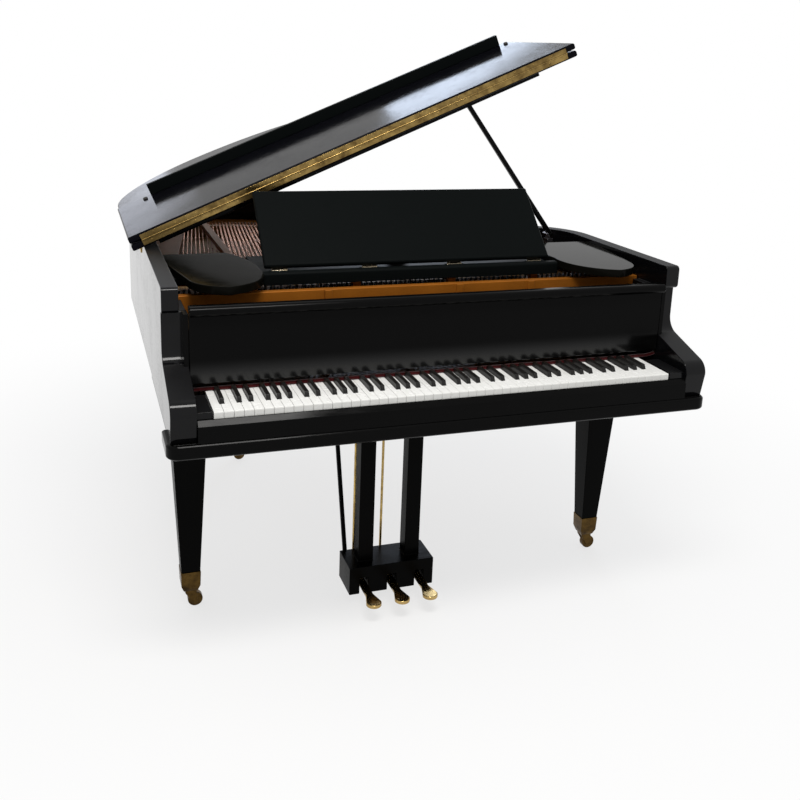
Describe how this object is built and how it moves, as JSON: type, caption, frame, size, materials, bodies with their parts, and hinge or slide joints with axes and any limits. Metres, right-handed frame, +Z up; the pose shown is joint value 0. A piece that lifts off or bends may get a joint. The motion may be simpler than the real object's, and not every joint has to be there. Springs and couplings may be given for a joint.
{
  "type": "grand piano",
  "caption": "Black lacquered grand piano with its lid on the prop and front flap folded back, music desk, fallboard, playable keys, pedal lyre and brass casters.",
  "frame": {"origin": "middle of the whole part's floor area, on the floor", "axes": "+X towards the treble side, +Y from the keyboard to the tail, +Z up"},
  "size_m": [1.4948, 1.734, 1.6323],
  "materials": {
    "lacquer": "black lacquer, polished",
    "timber": "clear varnish",
    "bronzed_iron": "bronze paint, satin",
    "string_steel": "bright drawn wire",
    "string_copper": "copper winding",
    "bright_brass": "polished",
    "key_white": "smooth gloss",
    "key_black": "satin black",
    "felt_red": "woven felt",
    "felt_dark": "black wood on felt"
  },
  "bodies": {
    "case": {"case_rim": "lacquer", "keybed": "lacquer", "base_moulding": "lacquer", "key_slip": "lacquer", "key_blocks": "lacquer", "back_beams": "timber", "soundboard": "timber", "bridges": "timber", "iron_plate": "bronzed_iron", "pin_block": "timber", "tuning_pins": "string_steel", "treble_strings": "string_steel", "bass_strings": "string_copper", "felt_rail": "lacquer", "red_felt": "felt_red", "music_shelf": "lacquer", "side_shelves": "lacquer", "lid_hinges": "bright_brass", "prop_bracket": "bright_brass", "left_leg": "lacquer", "right_leg": "lacquer", "rear_leg": "lacquer", "ferrules": "bright_brass", "lyre_frame": "lacquer", "lyre_braces": "lacquer"},
    "lid": {"lid_main": "lacquer", "lid_battens": "lacquer", "lid_leaves": "bright_brass"},
    "flap": {"lid_flap": "lacquer", "flap_lip": "lacquer", "flap_leaf": "bright_brass"},
    "prop": {"prop_stick": "lacquer"},
    "fallboard": {"fallboard": "lacquer"},
    "desk": {"music_desk": "lacquer", "desk_hinges": "bright_brass"},
    "desk_strut": {"desk_strut": "timber"},
    "key_frame": {"key_frame": "timber", "hammer_row": "timber"},
    "dampers": {"dampers": "felt_dark"},
    "middle_c": {"middle_c_key": "key_white"},
    "middle_d": {"middle_d_key": "key_white"},
    "middle_e": {"middle_e_key": "key_white"},
    "middle_c_sharp": {"middle_c_sharp_key": "key_black"},
    "middle_d_sharp": {"middle_d_sharp_key": "key_black"},
    "bass_naturals": {"bass_natural_keys": "key_white"},
    "bass_sharps": {"bass_sharp_keys": "key_black"},
    "treble_naturals": {"treble_natural_keys": "key_white"},
    "treble_sharps": {"treble_sharp_keys": "key_black"},
    "left_pedal": {"left_pedal": "bright_brass"},
    "left_rod": {"left_pedal_rod": "bright_brass"},
    "middle_pedal": {"middle_pedal": "bright_brass"},
    "middle_rod": {"middle_pedal_rod": "bright_brass"},
    "right_pedal": {"right_pedal": "bright_brass"},
    "right_rod": {"right_pedal_rod": "bright_brass"},
    "left_caster": {"left_caster_fork": "bright_brass"},
    "left_wheel": {"left_caster_wheel": "bright_brass"},
    "right_caster": {"right_caster_fork": "bright_brass"},
    "right_wheel": {"right_caster_wheel": "bright_brass"},
    "rear_caster": {"rear_caster_fork": "bright_brass"},
    "rear_wheel": {"rear_caster_wheel": "bright_brass"}
  },
  "joints": [
    {"name": "lid_open", "type": "hinge", "parent": "case", "child": "lid", "pos_m": [-0.70373, 0.153, 0.988], "axis": [0, -1, 0], "range_deg": [0, 40]},
    {"name": "flap_fold", "type": "hinge", "parent": "lid", "child": "flap", "pos_m": [-0.04877, -0.2175, 1.29672], "axis": [0.9198, 0, 0.3923], "range_deg": [0, 140]},
    {"name": "prop_fold", "type": "hinge", "parent": "case", "child": "prop", "pos_m": [0.6364, -0.112, 0.982], "axis": [0.7944, 0, 0.6074], "range_deg": [0, 84]},
    {"name": "fallboard_swing", "type": "hinge", "parent": "case", "child": "fallboard", "pos_m": [0.01983, -0.686, 0.783], "axis": [1, 0, 0], "range_deg": [0, 90]},
    {"name": "desk_tilt", "type": "hinge", "parent": "case", "child": "desk", "pos_m": [0.01983, -0.455, 0.9663], "axis": [1, 0, 0], "range_deg": [-45, 25]},
    {"name": "desk_strut_swing", "type": "hinge", "parent": "desk", "child": "desk_strut", "pos_m": [0.01983, -0.37722, 1.04408], "axis": [1, 0, 0], "range_deg": [-51, 91]},
    {"name": "key_shift", "type": "slide", "parent": "case", "child": "key_frame", "axis": [1, 0, 0], "range_m": [0, 0.0025]},
    {"name": "damper_lift", "type": "slide", "parent": "case", "child": "dampers", "axis": [0, 0, 1], "range_m": [0, 0.004]},
    {"name": "middle_c_dip", "type": "hinge", "parent": "key_frame", "child": "middle_c", "pos_m": [0.01983, -0.612, 0.706], "axis": [1, 0, 0], "range_deg": [0, 2.4], "stiffness_Nm_per_rad": 1.6, "springref_deg": -6.88},
    {"name": "middle_d_dip", "type": "hinge", "parent": "key_frame", "child": "middle_d", "pos_m": [0.01983, -0.612, 0.706], "axis": [1, 0, 0], "range_deg": [0, 2.4], "stiffness_Nm_per_rad": 1.6, "springref_deg": -6.88},
    {"name": "middle_e_dip", "type": "hinge", "parent": "key_frame", "child": "middle_e", "pos_m": [0.01983, -0.612, 0.706], "axis": [1, 0, 0], "range_deg": [0, 2.4], "stiffness_Nm_per_rad": 1.6, "springref_deg": -6.88},
    {"name": "middle_c_sharp_dip", "type": "hinge", "parent": "key_frame", "child": "middle_c_sharp", "pos_m": [0.01983, -0.612, 0.706], "axis": [1, 0, 0], "range_deg": [0, 2.4], "stiffness_Nm_per_rad": 1.6, "springref_deg": -6.88},
    {"name": "middle_d_sharp_dip", "type": "hinge", "parent": "key_frame", "child": "middle_d_sharp", "pos_m": [0.01983, -0.612, 0.706], "axis": [1, 0, 0], "range_deg": [0, 2.4], "stiffness_Nm_per_rad": 1.6, "springref_deg": -6.88},
    {"name": "bass_naturals_dip", "type": "hinge", "parent": "key_frame", "child": "bass_naturals", "pos_m": [0.01983, -0.612, 0.706], "axis": [1, 0, 0], "range_deg": [0, 2.4], "stiffness_Nm_per_rad": 36.8, "springref_deg": -6.88},
    {"name": "bass_sharps_dip", "type": "hinge", "parent": "key_frame", "child": "bass_sharps", "pos_m": [0.01983, -0.612, 0.706], "axis": [1, 0, 0], "range_deg": [0, 2.4], "stiffness_Nm_per_rad": 25.6, "springref_deg": -6.88},
    {"name": "treble_naturals_dip", "type": "hinge", "parent": "key_frame", "child": "treble_naturals", "pos_m": [0.01983, -0.612, 0.706], "axis": [1, 0, 0], "range_deg": [0, 2.4], "stiffness_Nm_per_rad": 41.6, "springref_deg": -6.88},
    {"name": "treble_sharps_dip", "type": "hinge", "parent": "key_frame", "child": "treble_sharps", "pos_m": [0.01983, -0.612, 0.706], "axis": [1, 0, 0], "range_deg": [0, 2.4], "stiffness_Nm_per_rad": 28.8, "springref_deg": -6.88},
    {"name": "left_pedal_dip", "type": "hinge", "parent": "case", "child": "left_pedal", "pos_m": [-0.13617, -0.527, 0.056], "axis": [1, 0, 0], "range_deg": [0, 6], "stiffness_Nm_per_rad": 60, "springref_deg": -6.88},
    {"name": "left_rod_rise", "type": "slide", "parent": "case", "child": "left_rod", "axis": [0, 0, 1], "range_m": [0, 0.0067]},
    {"name": "middle_pedal_dip", "type": "hinge", "parent": "case", "child": "middle_pedal", "pos_m": [-0.05217, -0.527, 0.056], "axis": [1, 0, 0], "range_deg": [0, 6], "stiffness_Nm_per_rad": 60, "springref_deg": -6.88},
    {"name": "middle_rod_rise", "type": "slide", "parent": "case", "child": "middle_rod", "axis": [0, 0, 1], "range_m": [0, 0.0067]},
    {"name": "right_pedal_dip", "type": "hinge", "parent": "case", "child": "right_pedal", "pos_m": [0.03184, -0.527, 0.056], "axis": [1, 0, 0], "range_deg": [0, 6], "stiffness_Nm_per_rad": 60, "springref_deg": -6.88},
    {"name": "right_rod_rise", "type": "slide", "parent": "case", "child": "right_rod", "axis": [0, 0, 1], "range_m": [0, 0.0067]},
    {"name": "left_caster_swivel", "type": "hinge", "parent": "case", "child": "left_caster", "pos_m": [-0.61572, -0.456, 0.0535], "axis": [0, 0, 1], "continuous": true},
    {"name": "left_wheel_roll", "type": "hinge", "parent": "left_caster", "child": "left_wheel", "pos_m": [-0.60272, -0.456, 0.021], "axis": [0, 1, 0], "continuous": true},
    {"name": "right_caster_swivel", "type": "hinge", "parent": "case", "child": "right_caster", "pos_m": [0.65539, -0.456, 0.0535], "axis": [0, 0, 1], "continuous": true},
    {"name": "right_wheel_roll", "type": "hinge", "parent": "right_caster", "child": "right_wheel", "pos_m": [0.66839, -0.456, 0.021], "axis": [0, 1, 0], "continuous": true},
    {"name": "rear_caster_swivel", "type": "hinge", "parent": "case", "child": "rear_caster", "pos_m": [-0.32531, 0.513, 0.0535], "axis": [0, 0, 1], "continuous": true},
    {"name": "rear_wheel_roll", "type": "hinge", "parent": "rear_caster", "child": "rear_wheel", "pos_m": [-0.31231, 0.513, 0.021], "axis": [0, 1, 0], "continuous": true}
  ],
  "couplings": [
    {"joint": "desk_strut_swing", "follows": "desk_tilt", "ratio": -2},
    {"joint": "key_shift", "follows": "left_pedal_dip", "m_per_rad": 0.023635},
    {"joint": "damper_lift", "follows": "right_pedal_dip", "m_per_rad": 0.037815},
    {"joint": "left_rod_rise", "follows": "left_pedal_dip", "m_per_rad": 0.06272},
    {"joint": "middle_rod_rise", "follows": "middle_pedal_dip", "m_per_rad": 0.06272},
    {"joint": "right_rod_rise", "follows": "right_pedal_dip", "m_per_rad": 0.06272}
  ]
}
